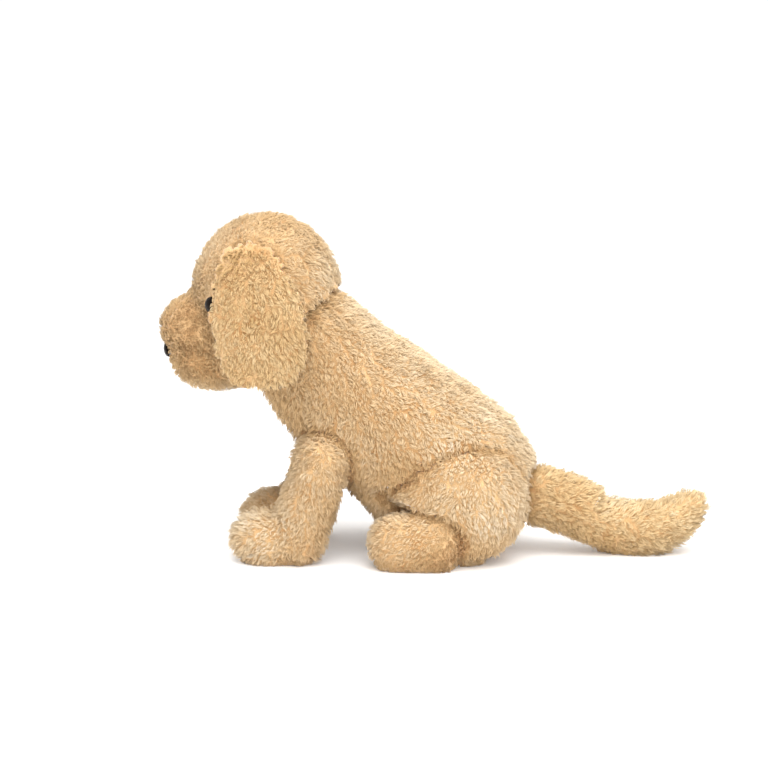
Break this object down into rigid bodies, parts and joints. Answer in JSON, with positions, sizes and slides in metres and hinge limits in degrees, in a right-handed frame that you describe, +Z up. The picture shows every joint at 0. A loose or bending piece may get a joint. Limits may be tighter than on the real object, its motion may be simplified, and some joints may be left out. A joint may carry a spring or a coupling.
{
  "type": "plush dog",
  "caption": "Seated soft toy puppy in long golden pile, with floppy ears, a stuffed body and a bushy tail lying behind it.",
  "frame": {"origin": "middle of the overall box, on the surface the dog sits on", "axes": "+Z up, -Y the way the dog faces, +X its left side"},
  "size_m": [0.129, 0.3562, 0.2225],
  "materials": {
    "sandy_plush": "matte",
    "golden_plush": "matte",
    "belly_plush": "matte",
    "fibre_filling": "matte",
    "pouch_cloth": "matte",
    "black_plastic": "gloss",
    "washer_plastic": "satin"
  },
  "bodies": {
    "torso": {"body_left_panel": "sandy_plush", "body_right_panel": "sandy_plush", "body_belly_gusset": "belly_plush", "body_filling": "fibre_filling", "bean_pouch": "pouch_cloth"},
    "neck": {"neck_filling": "fibre_filling"},
    "head": {"head_left_panel": "sandy_plush", "head_right_panel": "sandy_plush", "head_crown_gusset": "sandy_plush", "head_chin_gusset": "sandy_plush", "head_filling": "fibre_filling", "left_eye": "black_plastic", "right_eye": "black_plastic", "left_eye_washer": "washer_plastic", "right_eye_washer": "washer_plastic", "nose": "black_plastic", "nose_washer": "washer_plastic"},
    "left_ear": {"left_ear_outer": "golden_plush", "left_ear_lining": "golden_plush"},
    "left_foreleg": {"left_foreleg_outer": "sandy_plush", "left_foreleg_inner": "sandy_plush", "left_forepaw_sole": "belly_plush", "left_foreleg_filling": "fibre_filling"},
    "left_haunch": {"left_haunch_cover": "sandy_plush", "left_haunch_filling": "fibre_filling"},
    "left_foot": {"left_foot_upper": "sandy_plush", "left_foot_sole": "belly_plush", "left_foot_filling": "fibre_filling"},
    "right_ear": {"right_ear_outer": "golden_plush", "right_ear_lining": "golden_plush"},
    "right_foreleg": {"right_foreleg_outer": "sandy_plush", "right_foreleg_inner": "sandy_plush", "right_forepaw_sole": "belly_plush", "right_foreleg_filling": "fibre_filling"},
    "right_haunch": {"right_haunch_cover": "sandy_plush", "right_haunch_filling": "fibre_filling"},
    "right_foot": {"right_foot_upper": "sandy_plush", "right_foot_sole": "belly_plush", "right_foot_filling": "fibre_filling"},
    "tail_base": {"tail_base_left_panel": "golden_plush", "tail_base_right_panel": "golden_plush", "tail_base_filling": "fibre_filling"},
    "tail_tip": {"tail_tip_left_panel": "golden_plush", "tail_tip_right_panel": "golden_plush", "tail_tip_filling": "fibre_filling"}
  },
  "joints": [
    {"name": "neck_turn", "type": "hinge", "parent": "torso", "child": "neck", "pos_m": [0, -0.085, 0.14], "axis": [0, 0, 1], "range_deg": [-20, 20]},
    {"name": "head_nod", "type": "hinge", "parent": "neck", "child": "head", "pos_m": [0, -0.085, 0.14], "axis": [-1, 0, 0], "range_deg": [-12, 12]},
    {"name": "left_ear_lift", "type": "hinge", "parent": "head", "child": "left_ear", "pos_m": [0.034, -0.1135, 0.208], "axis": [0, -1, 0], "range_deg": [0, 75]},
    {"name": "left_foreleg_swing", "type": "hinge", "parent": "torso", "child": "left_foreleg", "pos_m": [0.033, -0.0715, 0.0665], "axis": [-1, 0, 0], "range_deg": [-5, 60]},
    {"name": "left_hip", "type": "hinge", "parent": "torso", "child": "left_haunch", "pos_m": [0.03, 0.0165, 0.0365], "axis": [-1, 0, 0], "range_deg": [-5, 10]},
    {"name": "left_foot_bend", "type": "hinge", "parent": "left_haunch", "child": "left_foot", "pos_m": [0.047, 0.001, 0.0175], "axis": [-1, 0, 0], "range_deg": [-5, 10]},
    {"name": "right_ear_lift", "type": "hinge", "parent": "head", "child": "right_ear", "pos_m": [-0.034, -0.1135, 0.208], "axis": [0, 1, 0], "range_deg": [0, 75]},
    {"name": "right_foreleg_swing", "type": "hinge", "parent": "torso", "child": "right_foreleg", "pos_m": [-0.033, -0.0715, 0.0665], "axis": [-1, 0, 0], "range_deg": [-5, 60]},
    {"name": "right_hip", "type": "hinge", "parent": "torso", "child": "right_haunch", "pos_m": [-0.03, 0.0165, 0.0365], "axis": [-1, 0, 0], "range_deg": [-5, 10]},
    {"name": "right_foot_bend", "type": "hinge", "parent": "right_haunch", "child": "right_foot", "pos_m": [-0.047, 0.001, 0.0175], "axis": [-1, 0, 0], "range_deg": [-5, 10]},
    {"name": "tail_wag", "type": "hinge", "parent": "torso", "child": "tail_base", "pos_m": [0, 0.067, 0.038], "axis": [0, 0, 1], "range_deg": [-35, 35]},
    {"name": "tail_curl", "type": "hinge", "parent": "tail_base", "child": "tail_tip", "pos_m": [0, 0.115, 0.019], "axis": [1, 0, 0], "range_deg": [0, 45]}
  ]
}
